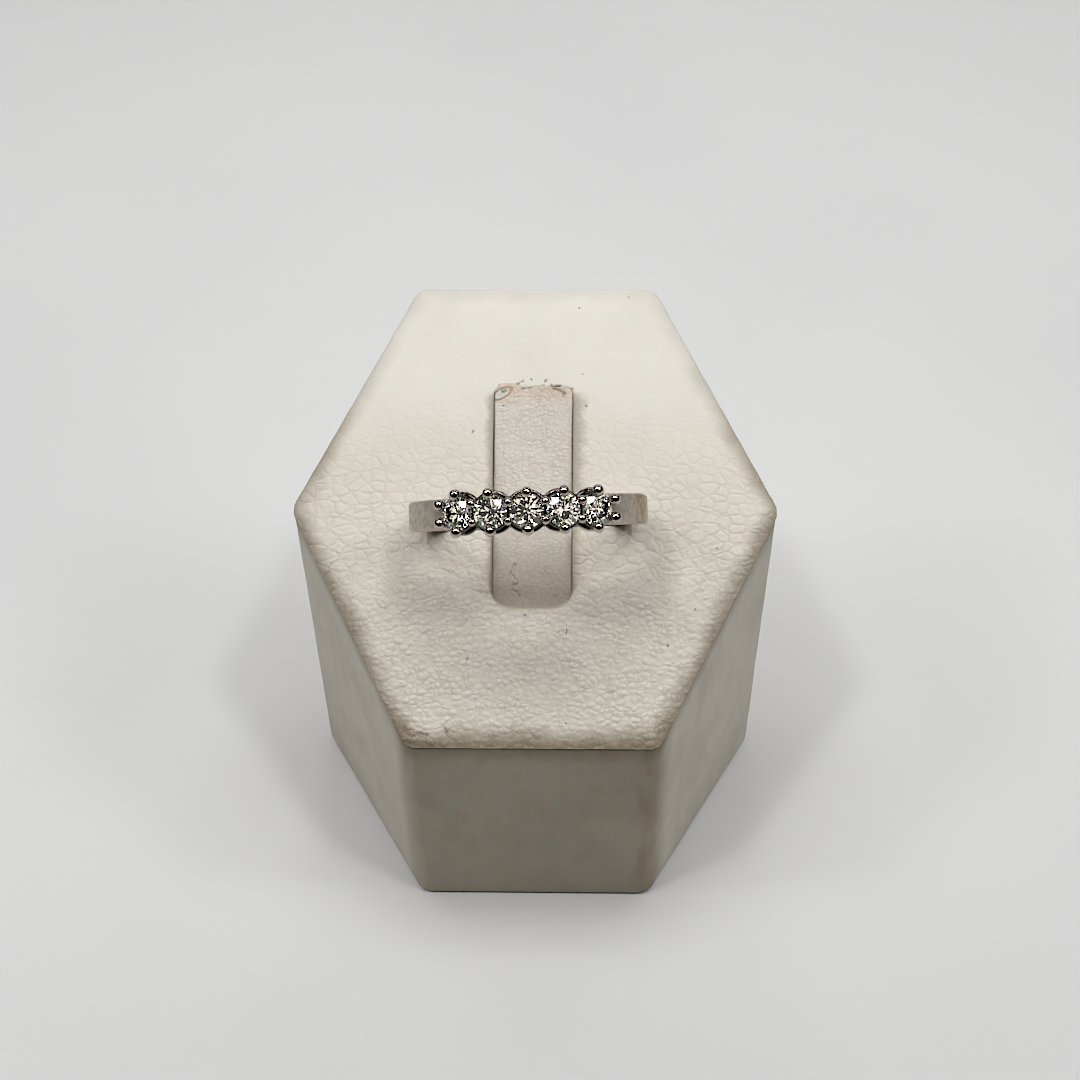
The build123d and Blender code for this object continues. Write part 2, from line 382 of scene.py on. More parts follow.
cutters = recess_cutters()
walls = hexagon_prism(STAND_FLATS - 2 * SEAM_INSET, 2 * middle_height, CORNER_ROUND)
trim(walls, seam_point, top_normal)
base_rim = [edge for edge in walls.edges if max(vert.co.z for vert in edge.verts) < 0.001]
round_edges(walls, base_rim, BASE_ROUND, 4)
walls = shaped(as_object(walls, "walls"), cutters, WALL_VOXEL)
walls.normal_update()
for vert in walls.verts:
    wave = noise.noise(vert.co / WALL_WAVE_LENGTH) + 0.35 * noise.noise(vert.co * 3 / WALL_WAVE_LENGTH)
    upright = 1 - abs(vert.normal.z)
    lift = min(1, max(0, vert.co.z / 1.5))
    vert.co += vert.normal * (WALL_WAVE * wave * upright * lift)


def millimetres_from(tree, place):
    """Coordinates in millimetres as seen from a place on the object."""
    inverse = place.inverted()
    mapping = add_node(
        tree, "ShaderNodeMapping", None,
        {
            "Vector": add_node(tree, "ShaderNodeTexCoord").outputs["Object"],
            "Location": inverse.translation,
            "Rotation": inverse.to_euler(),
            "Scale": (1 / MM, 1 / MM, 1 / MM),
        },
    )
    return mapping.outputs[0]


def stretched(tree, place, factors):
    """Coordinates multiplied by one factor on each axis."""
    return add_node(tree, "ShaderNodeVectorMath", {"operation": "MULTIPLY"}, {0: place, 1: factors}).outputs[0]


def new_group(name, inputs, outputs):
    """An empty shader node group with named sockets."""
    group = bpy.data.node_groups.new(name, "ShaderNodeTree")
    for way, sockets in (("INPUT", inputs), ("OUTPUT", outputs)):
        for socket, kind in sockets.items():
            group.interface.new_socket(name=socket, in_out=way, socket_type="NodeSocket" + kind)
    return group, group.nodes.new("NodeGroupInput").outputs, group.nodes.new("NodeGroupOutput").inputs


def pebbled_grain():
    """Leather grain: flat cells parted by fine creases, blending into small puffy ones, and a fine tooth."""
    group, given, out = new_group(
        "pebbled_grain", {"Place": "Vector", "Cell": "Float", "Small": "Float"},
        {"Height": "Float", "Tooth": "Float", "Crease": "Float"},
    )
    warped = given["Place"]
    for scale, reach in ((0.5, 0.6), (1.9, 0.2), (4.5, 0.08)):
        drift = add_node(group, "ShaderNodeTexNoise", None, {"Vector": given["Place"], "Scale": scale, "Detail": 1.0})
        warped = add_node(
            group, "ShaderNodeVectorMath", {"operation": "MULTIPLY_ADD"},
            {0: drift.outputs["Color"], 1: (reach, reach, reach), 2: warped},
        ).outputs[0]
    long = stretched(group, warped, (0.85, 1.18, 1.0))
    rate = work_out(group, "DIVIDE", 1.0, given["Cell"])
    fading = ramp_value(group, noise_value(group, given["Place"], 0.8), 0.3, 0.6, 0.5, 1.0)
    heights, creases = [], []
    for share, feature, low, high, width in ((1.1, "DISTANCE_TO_EDGE", 0.0, 0.24, 0.11), (2.15, "F1", 0.9, 0.0, 0.2)):
        rise, edge = [
            add_node(
                group, "ShaderNodeTexVoronoi", {"feature": kind},
                {"Vector": long, "Scale": work_out(group, "MULTIPLY", rate, share)},
            ).outputs["Distance"]
            for kind in (feature, "DISTANCE_TO_EDGE")
        ]
        heights.append(work_out(group, "MULTIPLY", ramp_value(group, rise, low, high), fading))
        creases.append(work_out(group, "MULTIPLY", ramp_value(group, edge, width, 0.0), fading))
    group.links.new(blend_numbers(group, given["Small"], *heights), out["Height"])
    group.links.new(blend_numbers(group, given["Small"], *creases), out["Crease"])
    group.links.new(noise_value(group, given["Place"], 4.2, 3.0), out["Tooth"])
    return group


PINK_PATCH = (1.0, 0.975, 0.965)
GREEN_PATCH = (0.97, 1.0, 0.98)


def soiling():
    """Broad cloudy shade, with small pinkish and greenish patches."""
    group, given, out = new_group(
        "soiling", {"Place": "Vector", "Colour": "Color", "Shade": "Color", "Amount": "Float"}, {"Colour": "Color"}
    )
    cloudy = ramp_value(group, noise_value(group, given["Place"], 0.13, 4.0), 0.38, 0.68)
    tone = blend_colours(group, work_out(group, "MULTIPLY", cloudy, given["Amount"]), given["Colour"], given["Shade"])
    patch = noise_value(group, given["Place"], 0.5, 2.0)
    pink = ramp_value(group, patch, 0.52, 0.66, 0.0, 0.6)
    green = ramp_value(group, patch, 0.5, 0.36, 0.0, 0.6)
    tone = blend_colours(group, pink, tone, PINK_PATCH, "MULTIPLY")
    group.links.new(blend_colours(group, green, tone, GREEN_PATCH, "MULTIPLY"), out["Colour"])
    return group


def mark():
    """A small dark spot or line from one point to another, ragged at its edge."""
    group, given, out = new_group(
        "mark", {"Place": "Vector", "Start": "Vector", "End": "Vector", "Width": "Float", "Ragged": "Float"},
        {"Mask": "Float"},
    )

    def step(operation, *values):
        made = add_node(group, "ShaderNodeVectorMath", {"operation": operation}, dict(enumerate(values)))
        return made.outputs["Value" if operation in ("DOT_PRODUCT", "DISTANCE") else "Vector"]

    run = step("SUBTRACT", given["End"], given["Start"])
    along = step("DOT_PRODUCT", step("SUBTRACT", given["Place"], given["Start"]), run)
    share = work_out(group, "DIVIDE", along, work_out(group, "MAXIMUM", step("DOT_PRODUCT", run, run), 0.0001))
    share = work_out(group, "MAXIMUM", work_out(group, "MINIMUM", share, 1.0))
    away = step("DISTANCE", given["Place"], step("MULTIPLY_ADD", run, share, given["Start"]))
    near = work_out(group, "DIVIDE", away, given["Width"])
    ragged = work_out(group, "MULTIPLY_ADD", given["Ragged"], 2.4, near)
    group.links.new(ramp_value(group, ragged, 2.2, 1.3), out["Mask"])
    return group


leather = {"grain": pebbled_grain(), "soiling": soiling(), "mark": mark()}


def add_group(tree, group, inputs):
    """One of the shared effects, placed in a material with its own values."""
    return add_node(tree, "ShaderNodeGroup", {"node_tree": group}, inputs).outputs


def add_bump(tree, shader, *raised):
    """Raises the surface in the shading alone, by pairs of a height and its depth in millimetres."""
    total = 0.0
    for height, depth in raised:
        total = work_out(tree, "MULTIPLY_ADD", height, depth, total)
    bump = add_node(tree, "ShaderNodeBump", None, {"Height": total, "Distance": MM})
    tree.links.new(bump.outputs["Normal"], shader.inputs["Normal"])


LEATHER_ROUGHNESS = 0.55
WALL_SHINE = 0.3
TOP_SHINE = 0.35
WALL_COLOUR = (0.655, 0.615, 0.525)
WALL_SHADE = (0.575, 0.54, 0.46)
FRONT_WALL_PAINTED_SHADE = (0.66, 0.635, 0.575)
RUBBED_SHADE = (0.945, 0.935, 0.92)
PINKISH_SHADE = (1.03, 0.96, 0.955)
SEAM_PAINTED_SHADOW = (0.22, 0.19, 0.155)
UNDER_SEAM = (0.68, 0.635, 0.575)
CORNER_STAIN = (0.86, 0.81, 0.74)
WALL_CELL = 0.9
WALL_GRAIN_DEPTH = 0.006
WALL_TOOTH_DEPTH = 0.012

wall_finish, tree, shader = new_material("wall_leatherette", LEATHER_ROUGHNESS)
shader.inputs["Specular IOR Level"].default_value = WALL_SHINE
place = millimetres_from(tree, Matrix())
tone = add_group(
    tree, leather["soiling"], {"Place": place, "Colour": (*WALL_COLOUR, 1), "Shade": (*WALL_SHADE, 1), "Amount": 0.8}
)["Colour"]
parts = axes(tree, place)
# Painted shade: the front wall's colour is darkened, standing in for the shade on a wall turned away from the lamps.
front = ramp_value(tree, parts[1], -15.0, -17.2)
tone = blend_colours(tree, front, tone, FRONT_WALL_PAINTED_SHADE, "MULTIPLY")
tall_place = stretched(tree, place, (1, 1, 0.5))
rubbed = ramp_value(tree, noise_value(tree, tall_place, 0.5, 6.0), 0.42, 0.66)
tone = blend_colours(tree, rubbed, tone, RUBBED_SHADE, "MULTIPLY")
pinkish = ramp_value(tree, noise_value(tree, tall_place, 0.9, 3.0), 0.48, 0.62)
tone = blend_colours(tree, work_out(tree, "MULTIPLY", pinkish, front), tone, PINKISH_SHADE, "MULTIPLY")
under_top = axes(tree, millimetres_from(tree, top_place))
ragged = work_out(tree, "MULTIPLY_ADD", noise_value(tree, place, 0.5, 4.0), 0.9, under_top[2])
tone = blend_colours(tree, ramp_value(tree, ragged, -2.2, 0.2), tone, UNDER_SEAM, "MULTIPLY")
# Painted shadow: a dark line along the front wall just under the top panel's overhanging lip.
seam = ramp_value(tree, under_top[2], -COVER_THICKNESS - 0.3, -COVER_THICKNESS - 0.06, 0.0, 0.9)
tone = blend_colours(tree, work_out(tree, "MULTIPLY", seam, front), tone, SEAM_PAINTED_SHADOW, "MULTIPLY")
corner_right = add_node(
    tree, "ShaderNodeVectorMath", {"operation": "DISTANCE"},
    {0: stretched(tree, place, (1, 1, 0)), 1: (STAND_FLATS / 2 / sqrt(3), -STAND_FLATS / 2, 0)},
).outputs["Value"]
near_corner = ramp_value(tree, work_out(tree, "MULTIPLY_ADD", rubbed, -0.6, corner_right), 1.6, 0.2)
tone = blend_colours(tree, near_corner, tone, CORNER_STAIN, "MULTIPLY")
tree.links.new(tone, shader.inputs["Base Color"])
grain = add_group(tree, leather["grain"], {"Place": place, "Cell": WALL_CELL, "Small": 1.0})
add_bump(tree, shader, (grain["Height"], WALL_GRAIN_DEPTH), (grain["Tooth"], WALL_TOOTH_DEPTH))
finish_piece(walls, "block_walls", wall_finish, "stand_block")

# The block's top: a padded panel of the same leatherette with a pebbled grain, glued on over the walls' upper
# edge. It rolls over softly at its rim, and its slot for the tongue is worn round at the mouth, brown there from wear
# and darkened with painted shade.
TOP_ROUND = 0.62
TOP_VOXEL = 0.14
RIM_SINK = 0.26
RIM_SINK_WIDTH = 0.95
MOUTH_LEFT = 0.42
MOUTH_RIGHT = 0.7
MOUTH_END = 0.1
MOUTH_DEPTH = 0.12
PUCKER_LENGTH = 1.7
PUCKER_DEPTH = 0.035
SWELL_HEIGHT = 0.06
SWELL_RATE = 0.11


def slot_distance(across, up):
    """Millimetres outside the slot's outline, measured on the top."""
    half_width = TONGUE_WIDTH / 2 + SLOT_GAP
    half_length = (TONGUE_LENGTH + SLOT_GAP) / 2
    corner = TONGUE_CORNER + SLOT_GAP if up < CREASE_UP - half_length else SLOT_BACK_CORNER
    x = abs(across - SLOT_ACROSS) - half_width + corner
    y = abs(up - CREASE_UP + half_length) - half_length + corner
    return hypot(max(x, 0), max(y, 0)) + min(max(x, y), 0) - corner


def rim_distance(across, up):
    """Millimetres inside the top's outline, measured level."""
    level = Vector((across, up * cos(radians(TOP_SLOPE))))
    sides = [Vector((cos(radians(angle)), sin(radians(angle)))) for angle in (30, 90, 150, 210, 270, 330)]
    return STAND_FLATS / 2 - max(level.dot(side) for side in sides)


def mouth_width(across, up):
    """How far the slot's worn mouth reaches out: most at the right near the crease, hardly at the tongue's end."""
    wide = MOUTH_RIGHT if across > SLOT_ACROSS else MOUTH_LEFT
    uneven = 1 + 0.35 * noise.noise(Vector((wide, up * 1.1, 3)))
    wide = wide * (0.55 + 0.45 * min(1, max(0, (up + 6) / 10))) * uneven
    along_end = min(1, max(0, (-6.2 - up) / 1.2))
    return wide + (MOUTH_END - wide) * along_end


cover = hexagon_prism(STAND_FLATS, 2 * middle_height, CORNER_ROUND)
upper_rim = trim(cover, Vector((0, 0, middle_height)), top_normal)
round_edges(cover, upper_rim, TOP_ROUND, 6)
trim(cover, seam_point, -top_normal)
cover = shaped(as_object(cover, "cover"), cutters, TOP_VOXEL)
hidden = [vert for vert in cover.verts if all(face.normal.dot(top_normal) < -0.99 for face in vert.link_faces)]
bmesh.ops.dissolve_verts(cover, verts=hidden)
cover.normal_update()
slot_away = cover.verts.layers.float.new("slot_away")
rim_away = cover.verts.layers.float.new("rim_away")
to_top = top_place.inverted()
for vert in cover.verts:
    across, up, above = to_top @ vert.co
    facing = vert.normal.dot(top_normal)
    slot = slot_distance(across, up)
    rim = rim_distance(across, up)
    vert[slot_away] = slot / mouth_width(across, up)
    vert[rim_away] = rim
    if facing < 0.1:
        continue
    front = min(1, max(0.2, 0.5 - up / 24))
    pucker = PUCKER_DEPTH * front * noise.noise(vert.co / PUCKER_LENGTH)
    sink = RIM_SINK * exp(-max(rim, 0) / RIM_SINK_WIDTH)
    swell = SWELL_HEIGHT * noise.noise(vert.co * SWELL_RATE) * min(1, max(rim, 0) / 3)
    change = pucker * facing + swell - sink
    if slot < mouth_width(across, up) and up < CREASE_UP - SLOT_BACK_CORNER:
        open_share = 1 - max(0, slot) / mouth_width(across, up)
        change -= min(MOUTH_DEPTH, mouth_width(across, up)) * (1 - sqrt(1 - open_share**2))
    share = min(1, max(0, above / COVER_THICKNESS + 1))
    vert.co += top_normal * max(change * share, -above - 0.95 * COVER_THICKNESS)

TOP_COLOUR = (0.795, 0.762, 0.692)
TOP_SHADE = (0.745, 0.71, 0.64)
TOP_FRONT_PAINTED_SHADE = (0.93, 0.905, 0.875)
RIM_DIRT_AND_SHADE = (0.49, 0.45, 0.39)
LIP_PAINTED_SHADE = (0.85, 0.825, 0.78)
MOUTH_PAINTED_SHADE = (0.43, 0.385, 0.30)
MOUTH_BROWN_AND_SHADE = (0.50, 0.455, 0.375)
MOUTH_TAN = (0.98, 0.89, 0.80)
CREASE_GREY = (0.74, 0.71, 0.67)
HINGE_CRACK = (0.20, 0.14, 0.085)
TOP_CELL = 1.12
TOP_GRAIN_BACK = 0.005
TOP_GRAIN_FRONT = 0.1
TOP_TOOTH_DEPTH = 0.02
MARK_COLOUR = (0.20, 0.155, 0.105)
MARK_STRENGTH = 0.75
TOP_MARKS = [
    {"from": (-0.44, 11.53), "to": (-0.40, 11.50), "width": 0.16},
    {"from": (0.85, 11.45), "to": (0.80, 11.35), "width": 0.2},
    {"from": (4.28, 9.15), "to": (4.30, 9.12), "width": 0.2},
    {"from": (4.02, 12.01), "to": (4.02, 12.01), "width": 0.13},
    {"from": (-5.32, 6.81), "to": (-5.38, 6.72), "width": 0.14},
    {"from": (15.22, -3.36), "to": (15.22, -3.36), "width": 0.16},
    {"from": (13.32, -8.58), "to": (13.30, -8.60), "width": 0.16},
    {"from": (11.06, -11.62), "to": (11.05, -11.66), "width": 0.18},
    {"from": (-5.44, -12.81), "to": (-5.42, -12.84), "width": 0.17},
    {"from": (2.76, -10.40), "to": (2.70, -10.85), "width": 0.09},
    {"from": (-0.71, -9.17), "to": (-0.71, -9.17), "width": 0.14},
    {"from": (2.72, -18.13), "to": (2.72, -18.13), "width": 0.15},
    {"from": (7.99, 19.13), "to": (7.99, 19.13), "width": 0.13},
    {"from": (3.66, 18.09), "to": (3.66, 18.09), "width": 0.13},
    {"from": (-7.19, -18.60), "to": (-6.90, -18.88), "width": 0.2},
    {"from": (-10.40, -18.75), "to": (-9.80, -19.10), "width": 0.5},
    {"from": (-9.60, -18.95), "to": (-8.60, -19.20), "width": 0.3},
    {"from": (-10.30, -19.60), "to": (-7.60, -20.20), "width": 0.4},
    {"from": (-19.74, -2.26), "to": (-19.40, -2.80), "width": 0.3},
    {"from": (-1.97, 10.89), "to": (-1.12, 11.35), "width": 0.16},
    {"from": (1.28, 10.95), "to": (2.00, 10.80), "width": 0.2},
]


def marked_out(tree, place, marks):
    """1 on each mark of a table, and 0 between them."""
    ragged = noise_value(tree, place, 3.5, 4.0)
    marked = None
    for row in marks:
        spot = add_group(tree, leather["mark"], {
            "Place": place, "Start": (*row["from"], 0), "End": (*row["to"], 0), "Width": row["width"],
            "Ragged": ragged,
        })["Mask"]
        marked = spot if marked is None else work_out(tree, "MAXIMUM", marked, spot)
    return marked


def surface_value(tree, name):
    return add_node(tree, "ShaderNodeAttribute", {"attribute_name": name}).outputs["Fac"]


top_finish, tree, shader = new_material("top_leatherette", LEATHER_ROUGHNESS)
shader.inputs["Specular IOR Level"].default_value = TOP_SHINE
place = millimetres_from(tree, top_place)
flat_place = stretched(tree, place, (1, 1, 0))
parts = axes(tree, place)
tone = add_group(
    tree, leather["soiling"], {"Place": place, "Colour": (*TOP_COLOUR, 1), "Shade": (*TOP_SHADE, 1), "Amount": 0.7}
)["Colour"]
# Painted shade: the top grows darker towards the front, standing in for the light falling off from back to front.
frontward = ramp_value(tree, parts[1], 13.0, 3.0)
tone = blend_colours(tree, frontward, tone, TOP_FRONT_PAINTED_SHADE, "MULTIPLY")
frontmost = ramp_value(tree, parts[1], 4.0, -15.0)
grain = add_group(tree, leather["grain"], {"Place": flat_place, "Cell": TOP_CELL, "Small": frontmost})
blotchy = noise_value(tree, place, 0.35, 4.0)
creased = work_out(tree, "MULTIPLY", grain["Crease"], ramp_value(tree, blotchy, 0.35, 0.65, 0.3, 0.85))
creased = work_out(tree, "MULTIPLY", creased, ramp_value(tree, parts[1], 9.0, -3.0, 0.0, 0.72))
tone = blend_colours(tree, creased, tone, CREASE_GREY, "MULTIPLY")
# Dirt and painted shade along the top's rim, strongest at the front: brownish dirt at the edges, and painted shade
# where the rim rolls over.
near_rim = work_out(tree, "MULTIPLY_ADD", blotchy, -1.5, surface_value(tree, "rim_away"))
dirty_and_shaded = ramp_value(tree, near_rim, 1.1, -0.8)
dirty_and_shaded = work_out(tree, "MULTIPLY", dirty_and_shaded, ramp_value(tree, parts[1], 16.0, 4.0, 0.3, 1.0))
tone = blend_colours(tree, dirty_and_shaded, tone, RIM_DIRT_AND_SHADE, "MULTIPLY")
# Painted shade on the front lip, where the top rolls over its edge.
lip = work_out(tree, "MULTIPLY", ramp_value(tree, near_rim, 1.3, -0.3), ramp_value(tree, parts[1], -16.5, -18.5))
tone = blend_colours(tree, lip, tone, LIP_PAINTED_SHADE, "MULTIPLY")
slot_away = surface_value(tree, "slot_away")
slot_share = work_out(tree, "MULTIPLY_ADD", noise_value(tree, place, 2.4, 4.0), 1.1, slot_away)
lower_half = ramp_value(tree, parts[1], 0.0, -4.5)
tanned = work_out(tree, "MULTIPLY", ramp_value(tree, slot_share, 4.4, 1.0), lower_half)
tone = blend_colours(tree, tanned, tone, MOUTH_TAN, "MULTIPLY")
# The slot's mouth in front of the crease: a brown band, partly worn colour and partly painted shade where the leather
# rolls down into the slot, with painted shade darkest right at the gap.
open_slot = ramp_value(tree, work_out(tree, "ADD", parts[1], blotchy), CREASE_UP + 0.5, CREASE_UP - 1.0)
browned = work_out(tree, "MULTIPLY", ramp_value(tree, slot_share, 2.5, 1.1), open_slot)
tone = blend_colours(tree, browned, tone, MOUTH_BROWN_AND_SHADE)
darkest = work_out(tree, "MULTIPLY", ramp_value(tree, slot_share, 1.5, 0.75), open_slot)
tone = blend_colours(tree, darkest, tone, MOUTH_PAINTED_SHADE)
at_hinge = work_out(tree, "ABSOLUTE", work_out(tree, "SUBTRACT", parts[1], CREASE_UP))
cracked = ramp_value(tree, noise_value(tree, place, 1.3, 5.0), 0.5, 0.6)
cracked = work_out(tree, "MULTIPLY", cracked, ramp_value(tree, at_hinge, 0.32, 0.1))
cracked = work_out(tree, "MULTIPLY", cracked, ramp_value(tree, work_out(tree, "ABSOLUTE", parts[0]), 3.5, 3.0))
tone = blend_colours(tree, cracked, tone, HINGE_CRACK)
marked = work_out(tree, "MULTIPLY", marked_out(tree, flat_place, TOP_MARKS), MARK_STRENGTH)
tone = blend_colours(tree, marked, tone, MARK_COLOUR)
tree.links.new(tone, shader.inputs["Base Color"])
depth = ramp_value(tree, parts[1], 12.0, -13.0, TOP_GRAIN_BACK, TOP_GRAIN_FRONT)
add_bump(tree, shader, (grain["Height"], depth), (grain["Tooth"], TOP_TOOTH_DEPTH))
finish_piece(cover, "block_top", top_finish, "stand_block")
for cutter in cutters:
    bpy.data.objects.remove(cutter)

# The tongue: a stiff strip wrapped in the same leatherette and hinged on it at the crease, pushed down into its
# slot through the ring. Its end is darkened with painted shade, and the crease is stained, cracked and torn at one
# side.
TONGUE_EDGE_ROUND = 0.13
TONGUE_VOXEL = 0.1
CREASE_OVERLAP = 0.9
TONGUE_PUCKER = 0.03
CREASE_DROOP = 0.07
TONGUE_COLOUR = (0.735, 0.68, 0.615)
TONGUE_SHADE = (0.65, 0.60, 0.54)
TONGUE_FRONT_PAINTED_SHADE = (0.72, 0.69, 0.66)
CREASE_TAN = (1.0, 0.91, 0.82)
FLAP_COLOUR = (0.66, 0.62, 0.535)
FLAP_EDGE = (0.27, 0.23, 0.17)
FLAP_ORANGE = (0.46, 0.30, 0.15)
FLAP_PLACE = (-2.91, 10.25, 0)
FLAP_TURN = 30
FLAP_SIZE = (0.86, 0.38, 100)
TONGUE_CELL = 0.85
TONGUE_SMALL_SHARE = 0.65
TONGUE_GRAIN_FRONT = 0.025
TONGUE_GRAIN_BACK = 0.05
TONGUE_TOOTH_DEPTH = 0.03
FOLD_DEPTH = 0.09
TONGUE_MARKS = [
    {"from": (-2.80, 10.40), "to": (-2.66, 10.50), "width": 0.26},
    {"from": (-2.80, 9.16), "to": (-2.80, 9.16), "width": 0.12},
    {"from": (1.70, -7.00), "to": (1.95, -7.08), "width": 0.09},
    {"from": (1.50, 10.72), "to": (2.00, 10.50), "width": 0.18},
    {"from": (2.00, 10.52), "to": (2.49, 10.27), "width": 0.22},
    {"from": (2.30, 10.40), "to": (2.35, 10.05), "width": 0.14},
    {"from": (-1.20, 10.70), "to": (-0.30, 10.78), "width": 0.12},
]
TONGUE_FOLDS = [
    {"from": (-1.70, -4.55), "to": (-1.95, -5.30), "width": 0.24},
    {"from": (-1.95, -5.30), "to": (-1.60, -5.75), "width": 0.22},
    {"from": (-1.55, -6.10), "to": (-1.75, -6.60), "width": 0.24},
    {"from": (-1.75, -6.60), "to": (-1.30, -7.00), "width": 0.2},
]

tongue = rounded_strip(TONGUE_WIDTH, TONGUE_LENGTH + CREASE_OVERLAP, TONGUE_CORNER, 0, -TONGUE_THICKNESS, 0)
bmesh.ops.translate(tongue, verts=tongue.verts, vec=(0, CREASE_OVERLAP, 0))
top_edges = [edge for edge in tongue.edges if min(vert.co.z for vert in edge.verts) > -0.001]
round_edges(tongue, top_edges, TONGUE_EDGE_ROUND, 4)
tongue = shaped(as_object(tongue, "tongue"), (), TONGUE_VOXEL)
tongue.normal_update()
for vert in tongue.verts:
    if vert.normal.z > 0.2:
        vert.co.z += TONGUE_PUCKER * (noise.noise(vert.co / 1.4) - 0.5) * vert.normal.z
    if vert.co.y > 0:
        along = vert.co.y
        vert.co.z += -sin(radians(TONGUE_DIP)) * along - CREASE_DROOP * (along / CREASE_OVERLAP) ** 2
bmesh.ops.transform(tongue, matrix=tongue_place, verts=tongue.verts)

tongue_finish, tree, shader = new_material("tongue_leatherette", LEATHER_ROUGHNESS)
shader.inputs["Specular IOR Level"].default_value = TOP_SHINE
place = millimetres_from(tree, top_place)
flat_place = stretched(tree, place, (1, 1, 0))
parts = axes(tree, place)
tone = add_group(
    tree, leather["soiling"],
    {"Place": place, "Colour": (*TONGUE_COLOUR, 1), "Shade": (*TONGUE_SHADE, 1), "Amount": 0.8},
)["Colour"]
blotchy = noise_value(tree, place, 0.9, 4.0)
# Painted shade: the front of the tongue, which dips into the slot beneath the ring, is darkened.
frontward = ramp_value(tree, work_out(tree, "MULTIPLY_ADD", blotchy, 2.0, parts[1]), 0.5, -4.5)
tone = blend_colours(tree, frontward, tone, TONGUE_FRONT_PAINTED_SHADE, "MULTIPLY")
backward = ramp_value(tree, work_out(tree, "MULTIPLY_ADD", blotchy, 1.6, parts[1]), 9.6, 11.4)
tone = blend_colours(tree, backward, tone, CREASE_TAN, "MULTIPLY")
grain = add_group(
    tree, leather["grain"], {"Place": flat_place, "Cell": TONGUE_CELL, "Small": TONGUE_SMALL_SHARE}
)
tone = blend_colours(tree, work_out(tree, "MULTIPLY", grain["Crease"], 0.6), tone, CREASE_GREY, "MULTIPLY")
flap_place = add_node(
    tree, "ShaderNodeMapping", {"vector_type": "TEXTURE"},
    {"Vector": place, "Location": FLAP_PLACE, "Rotation": (0, 0, radians(FLAP_TURN)), "Scale": FLAP_SIZE},
).outputs[0]
flap_away = add_node(tree, "ShaderNodeVectorMath", {"operation": "LENGTH"}, {0: flap_place}).outputs["Value"]
tone = blend_colours(tree, ramp_value(tree, flap_away, 1.05, 0.95), tone, FLAP_COLOUR)
flap_edge = ramp_value(tree, work_out(tree, "ABSOLUTE", work_out(tree, "SUBTRACT", flap_away, 1.05)), 0.3, 0.1)
flap_right = ramp_value(tree, axes(tree, flap_place)[0], 0.3, 0.7)
edge_colour = blend_colours(tree, flap_right, FLAP_EDGE, FLAP_ORANGE)
tone = blend_colours(tree, work_out(tree, "MULTIPLY", flap_edge, 0.8), tone, edge_colour)
marked = work_out(tree, "MULTIPLY", marked_out(tree, flat_place, TONGUE_MARKS), MARK_STRENGTH)
tone = blend_colours(tree, marked, tone, MARK_COLOUR)
folds = marked_out(tree, flat_place, TONGUE_FOLDS)
tree.links.new(tone, shader.inputs["Base Color"])
depth = ramp_value(tree, parts[1], -5.0, 2.0, TONGUE_GRAIN_FRONT, TONGUE_GRAIN_BACK)
add_bump(tree, shader, (grain["Height"], depth), (grain["Tooth"], TONGUE_TOOTH_DEPTH), (folds, -FOLD_DEPTH))
finish_piece(tongue, "tongue_strip", tongue_finish, "stand_tongue")

# The shank: a flat-sided band of white gold with eased edges, satin from wear and finely scratched all over.
# It was cast in one with the setting, and stops in a step at both ends of the row of stones.
STONE_COUNT = 5
STONE_WIDTH = 2.65
STONE_SPACING = 0.17
GIRDLE_LIFT = 0.45
SHANK_OUTER_ROUND = 0.35
SHANK_INNER_ROUND = 0.2
SHANK_STEPS = 160
SHANK_OVERLAP = 0.3

bore_radius = RING_BORE / 2
stone_radius = STONE_WIDTH / 2
girdle_radius = shank_radius + GIRDLE_LIFT
half_gap = asin(STONE_SPACING / 2 / hypot(girdle_radius, stone_radius))
half_pitch = degrees(atan(stone_radius / girdle_radius) + half_gap)
head_angle = STONE_COUNT * half_pitch

shank = bmesh.new()
bmesh.ops.create_grid(shank, x_segments=1, y_segments=1, size=0.5)
bmesh.ops.scale(shank, verts=shank.verts, vec=(SHANK_THICKNESS, SHANK_WIDTH, 1))
for side, corner in ((1, SHANK_OUTER_ROUND), (-1, SHANK_INNER_ROUND)):
    corners = [vert for vert in shank.verts if vert.co.x * side > 0 and len(vert.link_edges) == 2]
    bmesh.ops.bevel(shank, geom=corners, offset=corner, segments=6, profile=0.5, affect="VERTICES", material=-1)
bmesh.ops.delete(shank, geom=shank.faces[:], context="FACES_ONLY")
bmesh.ops.translate(shank, verts=shank.verts, vec=(bore_radius + SHANK_THICKNESS / 2, 0, 0))
bmesh.ops.rotate(shank, verts=shank.verts, matrix=Matrix.Rotation(radians(head_angle - SHANK_OVERLAP - 90), 3, "Y"))
bmesh.ops.spin(
    shank, geom=shank.verts[:] + shank.edges[:], cent=(0, 0, 0), axis=(0, 1, 0),
    angle=radians(360 - 2 * (head_angle - SHANK_OVERLAP)), steps=SHANK_STEPS,
)
ends = [edge for edge in shank.edges if edge.is_boundary]
bmesh.ops.holes_fill(shank, edges=ends, sides=0)
bmesh.ops.recalc_face_normals(shank, faces=shank.faces)
bmesh.ops.transform(shank, matrix=ring_place, verts=shank.verts)


def fine_scratches():
    """Fine straight scratches in three directions, 1 in a scratch and 0 beside it."""
    group, given, out = new_group("fine_scratches", {"Place": "Vector"}, {"Height": "Float"})
    total = None
    for turn, rate in ((0.35, 1.0), (-0.8, 0.7), (1.5, 0.5)):
        long_place = add_node(
            group, "ShaderNodeMapping", None,
            {"Vector": given["Place"], "Rotation": (turn, turn / 2, turn), "Scale": (rate, 22 * rate, 22 * rate)},
        ).outputs[0]
        line = ramp_value(group, noise_value(group, long_place, 1.0), 0.52, 0.6)
        total = line if total is None else work_out(group, "MAXIMUM", total, line)
    group.links.new(total, out["Height"])
    return group


